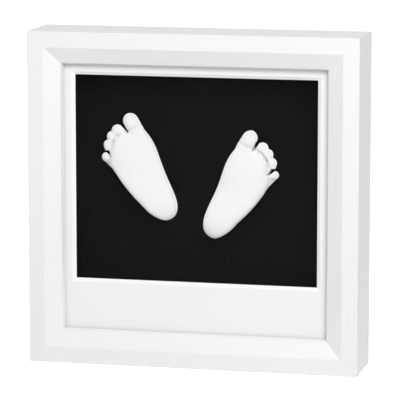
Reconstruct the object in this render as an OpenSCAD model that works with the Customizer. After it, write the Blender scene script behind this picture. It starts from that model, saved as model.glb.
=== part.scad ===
// Deep box frame with a window mat and a pair of plaster foot casts.
// Millimetres. +Z is up, the front faces -Y, and the frame stands on Z = 0.

/* [Rails] */
// Outer width of the frame
frame_w = 250; // [235:1:320]
// Outer height of the frame
frame_h = 250; // [235:1:320]
// Width of the flat front face of each rail
face_w = 12; // [9:0.5:18]
// Width of the bevel between the front face and the sight edge
bevel_w = 12; // [8:0.5:16]
// How far the bevel falls back from the front face
bevel_drop = 6; // [3:0.5:9]
// Thickness of the lip at the sight edge
lip_t = 4; // [3:0.5:8]
// How far the sight edge leans in over the thickness of the lip
sight_lean = 1.2; // [0:0.1:2]
// Thickness of the rail's wall beside the rebate
wall_t = 15; // [13:0.5:17]
// Rounding of the outer front edge
edge_r = 1.2; // [0.5:0.1:2]

/* [Pane and mat] */
// Thickness of the clear pane
pane_t = 2; // [1.5:0.1:3]
// Thickness of the mat card
mat_t = 2.5; // [1.5:0.1:3.5]
// Mat that shows at each side of the window
mat_side = 7.8; // [4:0.1:18]
// Mat that shows above the window
mat_top = 7.8; // [4:0.1:18]
// Mat that shows below the window
mat_foot = 37.8; // [20:0.1:50]
// Clearance round the flat sheets in the rebate
rebate_gap = 0.5; // [0.2:0.1:1]

/* [Display box] */
// Width of the spacer strips, from the rebate inwards
spacer_t = 7; // [4:0.5:9]
// Thickness of the black mounting board
board_t = 5; // [3:0.5:8]
// Thickness of the back panel
panel_t = 3; // [2:0.5:5]
// Clearance between the casts and the mat
cast_clear = 6; // [3:0.5:15]

/* [Sole of the casts] */
// Length of a cast from heel to big toe
foot_l = 85.5; // [80:0.5:92]
// Thickness of a cast at the heel, its deepest place
cast_t = 22; // [18:0.5:26]
// Thickness of a cast at the ball of the foot
ball_t = 20; // [17:0.5:22]
// Length of the heel's rounding on the inner side
heel_l = 16; // [12:0.5:20]
// Distance of the heel's hindmost point from the foot's axis, towards the inner side
heel_off = 2.4; // [1:0.1:4]
// Distance of the heel's inner edge from the foot's axis
heel_in = 14.2; // [12:0.1:16]
// Width across the ball
ball_w = 37.2; // [33:0.1:42]
// Distance of the ball's inner edge from the foot's axis
ball_in = 14.9; // [13:0.1:17]
// Distance from the heel to the widest place of the ball
ball_at = 54; // [50:0.5:57]
// Distance from the heel to the front of the sole
sole_l = 73; // [70:0.5:76]
// How far the arch draws in the inner edge
arch_in = 0.5; // [0:0.1:2]
// How far the arch hollows the sole
arch_d = 2.5; // [0:0.1:5]
// How far the sides draw in at the flat back
back_draw = 4; // [1:0.1:5]

/* [Toes of the casts] */
// Radius of the big toe's pad
big_toe_r = 6.1; // [5.5:0.1:7]
// Distance of the big toe's middle line from the foot's axis
big_toe_in = 5.8; // [5:0.1:7]
// How far the big toe's pad stands out above its neck
big_toe_rise = 1; // [0:0.5:4]
// Radius of each lesser toe's pad, from the second toe to the little toe
toe_r = [4.4, 4.3, 4.1, 3.5]; // [2.5:0.1:5]
// How far the middle of each lesser toe's pad stands out of the front of the sole
toe_reach = [4.8, 3.8, 2.6, 3]; // [1:0.1:8]
// Direction of each lesser toe round the front of the sole, from the outer side
toe_angle = [74, 59, 42, 14]; // [5:1:85]
// Height of the toes' necks above the flat back
toe_h = 11; // [8:0.5:13]
// How far the pad of a lesser toe stands out above its neck
toe_rise = 2.5; // [0:0.5:4]
// Lean of the lesser toes from the foot's axis, outwards
toe_lean = 20; // [5:1:35]

/* [Places of the casts] */
// Lean of the right foot's cast, to the left
right_foot_lean = 23.5; // [10:0.5:30]
// Lean of the left foot's cast, to the right
left_foot_lean = 22.5; // [10:0.5:30]
// Right heel from the middle of the window, across and up
right_heel = [-27.1, -34]; // [-60:0.1:60]
// Left heel from the middle of the window, across and up
left_heel = [12.4, -44.8]; // [-60:0.1:60]
// Side of a square adhesive pad
pad_w = 12; // [8:0.5:14]
// Thickness of an adhesive pad
pad_t = 1.5; // [0.8:0.1:3]
// Distances of the adhesive pads from the heel
pad_at = [14, 34, 54]; // [12:1:58]

/* [Turn buttons] */
// Length of a turn button from its screw to its tip
button_l = 24; // [20:0.5:30]
// Width of a turn button at its screw
button_w = 10; // [8:0.5:12]
// Width of a turn button at its tip
button_tip_w = 7; // [5:0.5:9]
// Thickness of a turn button
button_t = 1.2; // [0.8:0.1:2]
// How far the tip of a turn button lifts for the finger
button_lift = 0.8; // [0.3:0.1:1.2]
// Length of the lifted tip
button_tip_l = 6; // [4:0.5:9]
// Distance between the two turn buttons of a rail
button_pitch = 120; // [80:1:150]
// Gap above and below a turn button, so that it turns freely
button_gap = 0.2; // [0.1:0.05:0.4]
// Radius of the turn button screws
screw_r = 1.5; // [1.2:0.1:2]
// Length of the turn button screws in the wood
screw_l = 14; // [10:0.5:20]
// Radius of the screw heads
screw_head_r = 3.2; // [2.6:0.1:4]
// Height of the screw heads
screw_head_h = 1.5; // [1:0.1:2]
// Running clearance of a turn button on its screw
screw_gap = 0.08; // [0.05:0.01:0.1]

/* [Hanger and nails] */
// Length of the sawtooth hanger
hanger_l = 46; // [40:1:60]
// Height of the sawtooth hanger
hanger_h = 9; // [7:0.5:11]
// Thickness of the hanger's plate
hanger_t = 0.8; // [0.6:0.1:1.2]
// How far the hanger's toothed bridge stands off the rail
hanger_rise = 2.2; // [1.6:0.1:3]
// Length of each nail tab of the hanger
tab_l = 7; // [6:0.5:9]
// Width of one tooth of the hanger
tooth_w = 2.4; // [2:0.1:4]
// Depth of one tooth of the hanger
tooth_d = 1.6; // [1:0.1:2.5]
// Radius of the hanger's nails
nail_r = 0.8; // [0.6:0.1:1]
// Length of the hanger's nails in the wood
nail_l = 12; // [8:0.5:16]
// Radius of the nail heads
nail_head_r = 1.9; // [1.4:0.1:2.4]
// Height of the nail heads
nail_head_h = 0.6; // [0.4:0.1:1]
// Length of a leg of a corner V-nail
vnail_leg = 7; // [5:0.5:8]
// Thickness of a V-nail's legs
vnail_t = 0.8; // [0.6:0.1:1.2]
// Depth of a V-nail in the rails
vnail_h = 12; // [8:0.5:16]
// How far the V-nails are driven below the surface
vnail_set = 0.5; // [0.2:0.1:1]
// Clearance of nails and screws in the wood
wood_gap = 0.05; // [0.02:0.01:0.1]

/* [Hidden] */
$fn = 48;
// Straight steps in a rounded edge
arc_steps = 6;
// Sides of the round toe forms
toe_sides = 24;
// Lofted sections round the heel, along the sole and towards the toes
heel_sections = 8;
sole_sections = 10;
fore_sections = 8;
// Points over the top of a section, and down each side to the flat back
section_points = 20;
side_points = 3;
// Roundness of the heel's plan on either side: 2 is an ellipse, and more is squarer
heel_round_in = 2.3;
heel_round_out = 1.5;
// Roundness of a section: 1 is an ellipse, and less is squarer
edge_round = 0.42;
sole_round = 0.38;
// Share of a section's height at which it is widest
waist = 0.45;
// Share of the heel's height that its hindmost point has
heel_end = 0.5;
// How far the loft starts in front of the heel's hindmost point
heel_start = 0.3;
// How far inside the foot's axis the front of the sole ends
toe_line_in = 2;
// Roots of the toes lie this far behind the front of the sole
toe_root = 8;
// A toe's root and its neck, as shares of its pad's radius
toe_root_share = 1.1;
toe_neck_share = 0.95;
// The skin between two neighbouring pads, as a share of their radii
web_share = 0.48;
// How far that skin lies below the tops of the pads
web_drop = 0.6;
// How far a cleft between two toes reaches past their necks
cleft_d = 1.4;
// Half width of a cleft at its bottom, and at its mouth between the pads
cleft_bottom_r = 0.5;
cleft_mouth_r = 1.6;
// Cuts run this far past a face
past = 1;

rail_w = face_w + bevel_w;
sight_w = rail_w + sight_lean;
lip_d = bevel_drop + lip_t;
mat_at = lip_d + pane_t;
spacer_at = mat_at + mat_t;
spacer_d = pad_t + cast_t + cast_clear;
board_at = spacer_at + spacer_d;
panel_at = board_at + board_t;
frame_d = panel_at + panel_t;
sheet_inset = wall_t + rebate_gap;
sheet_w = frame_w - 2 * sheet_inset;
sheet_h = frame_h - 2 * sheet_inset;
window_w = frame_w - 2 * (sight_w + mat_side);
window_h = frame_h - 2 * sight_w - mat_top - mat_foot;
window_z = sight_w + mat_foot + window_h / 2;
hanger_proud = hanger_rise + hanger_t;
screw_proud = 2 * button_gap + button_t + screw_head_h;
front_y = -(frame_d + max(hanger_proud, screw_proud)) / 2;
back_y = front_y + frame_d;
pivot_x = frame_w / 2 - wall_t / 2;
hanger_z = frame_h - wall_t / 2;
nail_x = hanger_l / 2 - tab_l / 2;
vnail_in = (wall_t - vnail_leg) / 2;
ball_out = ball_in - ball_w;
toe_line = [toe_line_in - ball_out, sole_l - ball_at];
toe_way = [-sin(toe_lean), cos(toe_lean)];
big_neck = [big_toe_in, sole_l];
big_pad = [big_toe_in, foot_l - big_toe_r];

paint = "#f4f4f2";
card = "#fafaf8";
black = "#17181a";
plaster = "#f6f5f2";
hardboard = "#8a6a4a";
steel = "#b9bcc0";
foam = "#e8e4d8";
clear = [0.85, 0.92, 0.95, 0.25];

// Points along an arc
function arc(middle, r, from, to) =
  [for (i = [0 : arc_steps]) let (a = from + (to - from) * i / arc_steps)
    middle + r * [cos(a), sin(a)]];

// Power that keeps the sign
function signed_power(x, p) = sign(x) * pow(abs(x), p);

// An outline in X and Z, made solid between two depths behind the front
module slab(d, t) {
  translate([0, front_y + d + t, 0])
    rotate([90, 0, 0])
      linear_extrude(t) children();
}

// A flat sheet that fills the rebate
module sheet(d, t) {
  translate([-sheet_w / 2, front_y + d, sheet_inset]) cube([sheet_w, t, sheet_h]);
}

// Section of the moulding, as depth and distance in from the outer edge
module moulding_section() {
  polygon(concat(
    arc([edge_r, edge_r], edge_r, 270, 180),
    [[0, face_w], [bevel_drop, rail_w], [lip_d, sight_w], [lip_d, wall_t],
     [frame_d, wall_t], [frame_d, 0]]));
}

// A rail along X with its outer edge at Z = 0, cut to a mitre at both ends
module rail(l) {
  intersection() {
    translate([0, front_y, 0])
      rotate([90, 0, 90])
        linear_extrude(l, center = true) moulding_section();
    slab(-past, frame_d + 2 * past)
      polygon([[-l / 2, 0], [l / 2, 0], [l / 2 - sight_w, sight_w], [sight_w - l / 2, sight_w]]);
  }
}

// Copies for the four corners of the back, each turned to its corner
module at_corners() {
  for (x = [0, 1], z = [0, 1])
    translate([0, 0, frame_h / 2])
      mirror([x, 0, 0])
        mirror([0, 0, z])
          translate([-frame_w / 2, 0, -frame_h / 2]) children();
}

// One V-nail, or with a gap the slot for it
module v_nail(gap, top) {
  slab(frame_d - vnail_h - gap, vnail_h + gap - top)
    translate([vnail_in - gap, vnail_in - gap])
      difference() {
        square(vnail_leg + 2 * gap);
        translate([vnail_t + 2 * gap, vnail_t + 2 * gap]) square(vnail_leg + past);
      }
}

module v_nail_slots() {
  at_corners() v_nail(wood_gap, -past);
}

// Something at each turn button's screw, drawn along +Y from the back of the rails
module at_pivots() {
  for (side = [-1, 1], end = [-1, 1])
    translate([side * pivot_x, back_y, frame_h / 2 + end * button_pitch / 2])
      rotate([-90, 0, 0]) children();
}

module at_hanger_nails() {
  for (side = [-1, 1])
    translate([side * nail_x, back_y, hanger_z]) rotate([-90, 0, 0]) children();
}

module top_rail() {
  color(paint)
    difference() {
      translate([0, 0, frame_h]) mirror([0, 0, 1]) rail(frame_w);
      v_nail_slots();
      at_hanger_nails() translate([0, 0, -nail_l]) cylinder(r = nail_r + wood_gap, h = nail_l + past);
    }
}

module bottom_rail() {
  color(paint)
    difference() {
      rail(frame_w);
      v_nail_slots();
    }
}

module side_rail(side) {
  color(paint)
    difference() {
      translate([side * frame_w / 2, 0, frame_h / 2]) rotate([0, -90 * side, 0]) rail(frame_h);
      v_nail_slots();
      at_pivots() translate([0, 0, -screw_l]) cylinder(r = screw_r + wood_gap, h = screw_l + past);
    }
}

module left_rail() {
  side_rail(-1);
}

module right_rail() {
  side_rail(1);
}

module corner_v_nails() {
  color(steel) at_corners() v_nail(0, vnail_set);
}

module glazing_pane() {
  color(clear) sheet(lip_d, pane_t);
}

// A prism along Z whose width grows towards the front by the mat's thickness at each side
module window_flare(w, l) {
  linear_extrude(l, center = true)
    polygon([[-w / 2 - mat_t - past, -past], [w / 2 + mat_t + past, -past],
             [w / 2 - past, mat_t + past], [past - w / 2, mat_t + past]]);
}

module window_mat() {
  reach = 2 * (frame_w + frame_h);
  color(card)
    difference() {
      sheet(mat_at, mat_t);
      translate([0, front_y + mat_at, window_z])
        intersection() {
          window_flare(window_w, reach);
          rotate([0, 90, 0]) window_flare(window_h, reach);
        }
    }
}

module level_spacer(z) {
  color(black)
    translate([-sheet_w / 2, front_y + spacer_at, z]) cube([sheet_w, spacer_d, spacer_t]);
}

module upright_spacer(x) {
  color(black)
    translate([x, front_y + spacer_at, sheet_inset + spacer_t])
      cube([spacer_t, spacer_d, sheet_h - 2 * spacer_t]);
}

module top_spacer() {
  level_spacer(sheet_inset + sheet_h - spacer_t);
}

module bottom_spacer() {
  level_spacer(sheet_inset);
}

module left_spacer() {
  upright_spacer(-sheet_w / 2);
}

module right_spacer() {
  upright_spacer(sheet_w / 2 - spacer_t);
}

module mounting_board() {
  color(black) sheet(board_at, board_t);
}

module back_panel() {
  color(hardboard) sheet(panel_at, panel_t);
}

// The casts are drawn with X across to the inner side, Y from heel to toes and Z out of the flat back.

// A quarter of a rounded corner, from 0 at the start to 1 at the end
function rounding(share, power) = pow(1 - pow(1 - min(1, share), power), 1 / power);

// How far the front of the sole has run from the ball to the toes, 0 to 1
function foreness(v) = max(0, v - ball_at) / (sole_l - ball_at);

// What the rounded front of the sole keeps of its width
function front_rounding(v) = sqrt(max(0, 1 - pow(foreness(v), 2)));

// How far along it is from the heel to the ball, 0 to 1
function along_arch(v) = min(1, max(0, v - heel_l) / (ball_at - heel_l));

// How deep the arch is, 0 at the heel and at the ball
function archness(v) = pow(sin(180 * along_arch(v)), 2);

function inner_edge(v) =
  v <= heel_l ? heel_off + (heel_in - heel_off) * rounding(v / heel_l, heel_round_in)
  : v <= ball_at ? heel_in + (ball_in - heel_in) * along_arch(v) - arch_in * archness(v)
  : big_toe_in + (ball_in - big_toe_in) * front_rounding(v);

function outer_edge(v) =
  v <= ball_at ? heel_off + (ball_out - heel_off) * rounding(v / ball_at, heel_round_out)
  : toe_line_in - toe_line[0] * front_rounding(v);

function middle(v) = (inner_edge(v) + outer_edge(v)) / 2;

function sole_height(v) =
  v <= ball_at
  ? (cast_t + (ball_t - cast_t) * along_arch(v)) * (heel_end + (1 - heel_end) * rounding(v / heel_l, 2))
  : toe_h + (ball_t - toe_h) * sqrt(max(0, 1 - pow(foreness(v), 3)));

// One ring of the loft: over the sole from the inner edge to the outer one, and back along the flat
function section(v) =
  let (
    inner = inner_edge(v),
    outer = outer_edge(v),
    c = (inner + outer) / 2,
    a = (inner - outer) / 2,
    h = sole_height(v),
    hollow = arch_d * archness(v),
    draw = min(back_draw, a / 2)
  )
  concat(
    [for (i = [0 : section_points]) let (t = 180 * i / section_points)
      [c + a * signed_power(cos(t), edge_round), v,
       h * waist + (h * (1 - waist) - hollow * (1 + cos(t)) / 2) * pow(sin(t), sole_round)]],
    [for (i = [1 : side_points]) let (s = i / side_points)
      [outer + draw * s * s, v, h * waist * (1 - s)]],
    [for (i = [side_points : -1 : 1]) let (s = i / side_points)
      [inner - draw * s * s, v, h * waist * (1 - s)]]
  );

// Where the loft has its sections: close together at the round ends
sole_stations = concat(
  [for (i = [0 : heel_sections])
    heel_start + (heel_l - heel_start) * (1 - cos(90 * i / heel_sections))],
  [for (i = [1 : sole_sections]) heel_l + (ball_at - heel_l) * i / sole_sections],
  [for (i = [1 : fore_sections])
    ball_at + (sole_l - heel_start - ball_at) * sin(90 * i / fore_sections)]
);

module sole() {
  rings = [for (v = sole_stations) section(v)];
  n = len(rings[0]);
  last = (len(rings) - 1) * n;
  polyhedron(
    points = [for (ring = rings) each ring],
    faces = concat(
      [[for (i = [n - 1 : -1 : 0]) i]],
      [for (k = [0 : len(rings) - 2], i = [0 : n - 1]) let (j = (i + 1) % n)
        each [[k * n + i, k * n + j, (k + 1) * n + i], [k * n + j, (k + 1) * n + j, (k + 1) * n + i]]],
      [[for (i = [0 : n - 1]) last + i]]
    ));
}

// One round form of a toe, at a place on the sole and a height above the flat back
module bulb(at, h, r) {
  translate([at[0], at[1], h]) sphere(r, $fn = toe_sides);
}

// A toe from its root in the sole, over a neck, to its raised pad
module toe(root, neck, pad, r, rise) {
  hull() {
    bulb(root, toe_h, r * toe_root_share);
    bulb(neck, toe_h, r * toe_neck_share);
  }
  hull() {
    bulb(neck, toe_h, r * toe_neck_share);
    bulb(pad, toe_h + rise, r);
  }
}

// Where a lesser toe has its neck, on the rounded front of the sole, and its pad
function toe_neck(i) =
  [toe_line_in - toe_line[0] * cos(toe_angle[i]), ball_at + toe_line[1] * sin(toe_angle[i])];
function toe_pad(i) = toe_neck(i) + toe_reach[i] * toe_way;

module lesser_toe(i) {
  toe(toe_neck(i) - toe_root * toe_way, toe_neck(i), toe_pad(i), toe_r[i], toe_rise);
}

// Skin between the pads of a lesser toe and of the next one
module toe_web(i) {
  hull()
    for (j = [i, i + 1])
      bulb(toe_pad(j), toe_h + toe_rise + toe_r[j] * (1 - web_share) - web_drop, toe_r[j] * web_share);
}

// The middle of the gap between two round forms
function gap_middle(a, a_r, b, b_r) = a + (b - a) * (norm(b - a) + a_r - b_r) / 2 / norm(b - a);

// A wedge that is cut between two toes, from behind their necks to their pads
module cleft(a_neck, a_pad, a_r, b_neck, b_pad, b_r) {
  bottom = gap_middle(a_neck, a_r, b_neck, b_r) - cleft_d * toe_way;
  mouth = gap_middle(a_pad, a_r, b_pad, b_r);
  translate([0, 0, -past])
    linear_extrude(cast_t + 2 * past)
      hull() {
        translate(bottom) circle(cleft_bottom_r, $fn = toe_sides);
        translate(mouth) circle(cleft_mouth_r, $fn = toe_sides);
      }
}

// A right foot seen from its sole. The big toe and the little toe stand apart.
module foot() {
  last = len(toe_r) - 1;
  fourth = last - 1;
  difference() {
    union() {
      sole();
      toe(big_neck - [0, toe_root], big_neck, big_pad, big_toe_r, big_toe_rise);
      for (i = [0 : last]) lesser_toe(i);
      for (i = [0 : fourth - 1]) toe_web(i);
    }
    cleft(big_neck, big_pad, big_toe_r, toe_neck(0), toe_pad(0), toe_r[0]);
    cleft(toe_neck(fourth), toe_pad(fourth), toe_r[fourth], toe_neck(last), toe_pad(last), toe_r[last]);
  }
}

// Places a right foot's parts on the mounting board, this far in front of it
module at_right_foot(off) {
  translate([right_heel[0], front_y + board_at - off, window_z + right_heel[1]])
    rotate([0, -right_foot_lean, 0])
      rotate([90, 0, 0]) children();
}

// Places a left foot's parts, as a mirrored right foot
module at_left_foot(off) {
  translate([left_heel[0], front_y + board_at - off, window_z + left_heel[1]])
    rotate([0, left_foot_lean, 0])
      rotate([90, 0, 0])
        mirror([1, 0, 0]) children();
}

module right_foot_cast() {
  color(plaster) at_right_foot(pad_t) foot();
}

module left_foot_cast() {
  color(plaster) at_left_foot(pad_t) foot();
}

module foot_pads() {
  for (v = pad_at)
    translate([middle(v) - pad_w / 2, v - pad_w / 2, 0]) cube([pad_w, pad_w, pad_t]);
}

module cast_pads() {
  color(foam) {
    at_right_foot(0) foot_pads();
    at_left_foot(0) foot_pads();
  }
}

// A turn button that points along +X from its screw, with its underside at Z = 0
module turn_button_blank() {
  tip_r = button_tip_w / 2;
  difference() {
    intersection() {
      linear_extrude(button_t + button_lift)
        polygon(concat(
          arc([0, 0], button_w / 2, 90, 270),
          arc([button_l - tip_r, 0], tip_r, -90, 90)));
      rotate([90, 0, 0])
        linear_extrude(2 * button_w, center = true)
          polygon([[-button_w, 0], [button_l - button_tip_l, 0], [button_l, button_lift],
                   [button_l, button_lift + button_t], [button_l - button_tip_l, button_t],
                   [-button_w, button_t]]);
    }
    translate([0, 0, -past]) cylinder(r = screw_r + screw_gap, h = button_t + 2 * past);
  }
}

// A turn button at one of the four screws, pointing in over the back panel
module turn_button(side, end) {
  color(steel)
    translate([side * pivot_x, back_y + button_gap, frame_h / 2 + end * button_pitch / 2])
      rotate([-90, 0, 0])
        rotate([0, 0, side > 0 ? 180 : 0]) turn_button_blank();
}

module upper_left_turn_button() {
  turn_button(-1, 1);
}

module lower_left_turn_button() {
  turn_button(-1, -1);
}

module upper_right_turn_button() {
  turn_button(1, 1);
}

module lower_right_turn_button() {
  turn_button(1, -1);
}

// A round-headed wood screw with its head above Z = 0
module turn_button_screws() {
  under_head = 2 * button_gap + button_t;
  crown = screw_head_h / 2;
  color(steel)
    at_pivots()
      rotate_extrude()
        polygon([[0, -screw_l], [screw_r, -screw_l + 2 * screw_r], [screw_r, under_head],
                 [screw_head_r, under_head], [screw_head_r, under_head + crown],
                 [screw_head_r - crown, under_head + screw_head_h], [0, under_head + screw_head_h]]);
}

// A strip bent to a bridge between two nail tabs, with a toothed lower edge
module sawtooth_hanger() {
  bridge = hanger_l / 2 - tab_l;
  teeth = floor(2 * (bridge - hanger_proud) / tooth_w);
  color(steel)
    translate([0, back_y, hanger_z])
      difference() {
        linear_extrude(hanger_h, center = true)
          polygon([[-hanger_l / 2, 0], [-bridge, 0], [hanger_rise - bridge, hanger_rise],
                   [bridge - hanger_rise, hanger_rise], [bridge, 0], [hanger_l / 2, 0],
                   [hanger_l / 2, hanger_t], [bridge + hanger_t / 2, hanger_t],
                   [bridge - hanger_rise + hanger_t / 2, hanger_proud],
                   [hanger_rise - bridge - hanger_t / 2, hanger_proud],
                   [-bridge - hanger_t / 2, hanger_t], [-hanger_l / 2, hanger_t]]);
        for (i = [0 : teeth - 1])
          translate([(i - (teeth - 1) / 2) * tooth_w, hanger_rise - past, -hanger_h / 2])
            rotate([-90, 0, 0])
              linear_extrude(hanger_t + 2 * past)
                polygon([[-tooth_w / 2, past], [-tooth_w / 2, 0], [0, -tooth_d],
                         [tooth_w / 2, 0], [tooth_w / 2, past]]);
        for (side = [-1, 1])
          translate([side * nail_x, -past, 0])
            rotate([-90, 0, 0]) cylinder(r = nail_r + wood_gap, h = hanger_t + 2 * past);
      }
}

module hanger_nails() {
  color(steel)
    at_hanger_nails()
      rotate_extrude()
        polygon([[0, -nail_l], [nail_r, -nail_l + 2 * nail_r], [nail_r, hanger_t],
                 [nail_head_r, hanger_t], [nail_head_r, hanger_t + nail_head_h],
                 [0, hanger_t + nail_head_h]]);
}

top_rail();
bottom_rail();
left_rail();
right_rail();
corner_v_nails();
glazing_pane();
window_mat();
top_spacer();
bottom_spacer();
left_spacer();
right_spacer();
mounting_board();
right_foot_cast();
left_foot_cast();
cast_pads();
back_panel();
upper_left_turn_button();
lower_left_turn_button();
upper_right_turn_button();
lower_right_turn_button();
turn_button_screws();
sawtooth_hanger();
hanger_nails();
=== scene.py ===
# %% [markdown]
# # A white box frame with two plaster casts
#
# The object is a deep, square box frame. Four mitred rails hold a clear pane, a
# window mat, a black board and a back panel, and two plaster casts of small feet are
# stuck to the board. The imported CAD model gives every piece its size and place, in
# metres, with Z up and the front towards -Y. This lesson gives the pieces their looks.

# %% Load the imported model
import math

import bmesh
import bpy
import numpy as np
from mathutils import Matrix, Vector


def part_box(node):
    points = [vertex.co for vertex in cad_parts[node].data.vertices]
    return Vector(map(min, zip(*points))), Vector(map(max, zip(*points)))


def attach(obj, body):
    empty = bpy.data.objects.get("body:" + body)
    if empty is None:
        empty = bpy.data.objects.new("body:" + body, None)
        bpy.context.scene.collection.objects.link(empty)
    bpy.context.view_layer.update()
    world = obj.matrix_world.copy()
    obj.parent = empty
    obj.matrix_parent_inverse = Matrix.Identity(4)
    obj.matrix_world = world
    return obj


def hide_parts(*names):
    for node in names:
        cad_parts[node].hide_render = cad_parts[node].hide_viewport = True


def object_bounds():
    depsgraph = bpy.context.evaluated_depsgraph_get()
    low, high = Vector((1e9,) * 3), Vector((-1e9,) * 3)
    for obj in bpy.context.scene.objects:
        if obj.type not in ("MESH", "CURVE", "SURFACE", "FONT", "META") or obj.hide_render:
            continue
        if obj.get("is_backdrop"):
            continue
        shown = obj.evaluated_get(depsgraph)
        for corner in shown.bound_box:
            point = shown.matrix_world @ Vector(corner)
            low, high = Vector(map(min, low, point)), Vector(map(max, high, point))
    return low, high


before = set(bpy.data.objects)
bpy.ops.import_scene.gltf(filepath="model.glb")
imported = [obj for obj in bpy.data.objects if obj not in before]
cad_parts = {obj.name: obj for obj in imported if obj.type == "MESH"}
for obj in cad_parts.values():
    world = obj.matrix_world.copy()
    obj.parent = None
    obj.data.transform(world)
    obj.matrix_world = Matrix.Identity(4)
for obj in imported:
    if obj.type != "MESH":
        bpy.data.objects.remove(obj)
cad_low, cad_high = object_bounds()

MM = 0.001


def in_mm(lengths):
    """Lengths in metres as rounded millimetres, for printing."""
    return [round(length / MM, 2) for length in lengths]


print("CAD box in mm:", in_mm(cad_high - cad_low))

# %% [markdown]
# ## Sizes
#
# A piece fits its neighbours only if both take their sizes from one place. Most sizes
# are read from the CAD nodes, and only what no node's box shows is written here.

# %% Sizes that the pieces share
rail_low, rail_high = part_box("bottom_rail")
FRONT_Y, BACK_Y = rail_low.y, rail_high.y
FRAME_W = rail_high.x - rail_low.x
FRAME_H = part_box("top_rail")[1].z
SIGHT_W = rail_high.z - rail_low.z
MIDDLE = Vector((0, 0, FRAME_H / 2))
print("length and width of a rail in mm:", in_mm((FRAME_W, SIGHT_W)))

# %% [markdown]
# ## Camera
#
# The photograph was taken from a little above and to the right, from far away with a
# long lens, so the edges hardly converge. The angles, the distance and the lens were
# fitted to the corners of the frame. The camera could be shifted to centre the picture,
# but a shift stays when the camera moves round, so the camera is set aside instead.

# %% Camera
AZIMUTH = math.radians(13.0)
ELEVATION = math.radians(9.08)
DISTANCE = 2.057
LENS = 250.9
ASIDE, ABOVE = 6.52 * MM, 2.54 * MM

turn = Matrix.Rotation(AZIMUTH, 3, "Z") @ Matrix.Rotation(math.pi / 2 - ELEVATION, 3, "X")
eye = Vector((0, FRONT_Y, FRAME_H / 2)) + turn @ Vector((ASIDE, ABOVE, DISTANCE))
bpy.ops.object.camera_add(location=eye, rotation=turn.to_euler())
camera = bpy.context.object
camera.data.lens = LENS
camera.data.sensor_width = 36.0
camera.data.clip_start = 0.01
camera.data.clip_end = 100.0
bpy.context.scene.camera = camera
bpy.context.scene.view_settings.view_transform = "Standard"
print("camera in mm:", in_mm(eye))

# %% [markdown]
# ## A way to write shaders
#
# A material is a graph of nodes. One small class wraps a node's output, so that maths on
# it reads like maths: `0.5 * grain + peel` adds the Math nodes by itself. Every other
# node comes from its one method, `node`.


# %% Shader wires
class Wire:
    """One output in a node tree. Operators on it add Math nodes, and node() adds any other node."""

    def __init__(self, tree, socket=None):
        self.tree = tree
        self.socket = socket

    def node(self, kind, settings=None, inputs=None, output=0):
        """Add a node with its settings, then its inputs as values or wires, and give one output."""
        made = self.tree.nodes.new(kind)
        for name, value in (settings or {}).items():
            if name == "stops":
                first, last = made.color_ramp.elements
                (first.position, first.color), (last.position, last.color) = value
            else:
                setattr(made, name, value)
        for name, value in (inputs or {}).items():
            if isinstance(value, Wire):
                self.tree.links.new(value.socket, made.inputs[name])
            else:
                made.inputs[name].default_value = value
        return Wire(self.tree, made.outputs[output]) if len(made.outputs) else made

    def maths(self, operation, first, second):
        return self.node("ShaderNodeMath", {"operation": operation}, {0: first, 1: second})

    def __add__(self, other):
        return self.maths("ADD", self, other)

    def __radd__(self, other):
        return self.maths("ADD", other, self)

    def __mul__(self, other):
        return self.maths("MULTIPLY", self, other)

    def __rmul__(self, other):
        return self.maths("MULTIPLY", other, self)


print("shader wires ready")

# %% [markdown]
# ## Common parts of a finish
#
# All finishes read Object coordinates. Every piece sits at the origin with its place in
# its mesh, so these are metres in the frame, and a noise of scale 800 has spots of
# about a millimetre.


# %% Building blocks of a finish
def noise(start, scale, detail=2.0, stretch=(1, 1, 1), rough=0.5):
    """Noise from 0 to 1 over a piece, drawn out along the axes whose stretch is small."""
    place = start.node("ShaderNodeTexCoord", output="Object")
    placed = start.node("ShaderNodeMapping", inputs={"Vector": place, "Scale": stretch})
    return start.node(
        "ShaderNodeTexNoise",
        inputs={"Vector": placed, "Scale": scale, "Detail": detail, "Roughness": rough},
    )


def between(share, low, high):
    """A value that runs from low to high as share runs from 0 to 1."""
    return low + (high - low) * share


def blend(share, first, second):
    """Two colours mixed by a share."""
    return share.node(
        "ShaderNodeMix", {"data_type": "RGBA"}, {0: share, 6: first, 7: second}, output=2
    )


def bump(height, depth):
    """A normal from a height, where depth is the real depth of the relief in metres."""
    return height.node("ShaderNodeBump", inputs={"Height": height, "Distance": depth})


def new_finish(name):
    """An empty material, and a wire to start its nodes from."""
    material = bpy.data.materials.new(name)
    material.use_nodes = True
    material.node_tree.nodes.clear()
    return material, Wire(material.node_tree)


def principled(start, **sockets):
    """The surface shader, linked to the material's output."""
    inputs = {name.replace("_", " "): value for name, value in sockets.items()}
    shader = start.node("ShaderNodeBsdfPrincipled", inputs=inputs)
    start.node("ShaderNodeOutputMaterial", inputs={"Surface": shader})


print("finish blocks ready")

# %% [markdown]
# ## Satin white paint
#
# The rails are sprayed white. The paint levels to a satin skin with a fine orange peel,
# and the grain of the wood below still telegraphs a little along each rail. The grain
# follows the rail, so level and upright rails each get their own copy of the finish.


# %% Satin white paint
def satin_paint(name, stretch):
    material, start = new_finish(name)
    cloud = noise(start, scale=18, detail=3)
    peel = noise(start, scale=620)
    grain = noise(start, scale=700, detail=4, stretch=stretch, rough=0.6)
    principled(
        start,
        Base_Color=blend(
            0.2 * cloud + 0.8 * grain, (0.773, 0.771, 0.759, 1), (0.869, 0.867, 0.854, 1)
        ),
        Roughness=between(peel, 0.38, 0.5),
        Normal=bump(0.5 * peel + 0.5 * grain, depth=0.04 * MM),
        Specular_IOR_Level=0.4,
    )
    return material


GRAIN = 0.05
level_paint = satin_paint("level_rail_paint", (GRAIN, 1, 1))
upright_paint = satin_paint("upright_rail_paint", (1, 1, GRAIN))
print("paints:", level_paint.name, upright_paint.name)

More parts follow.
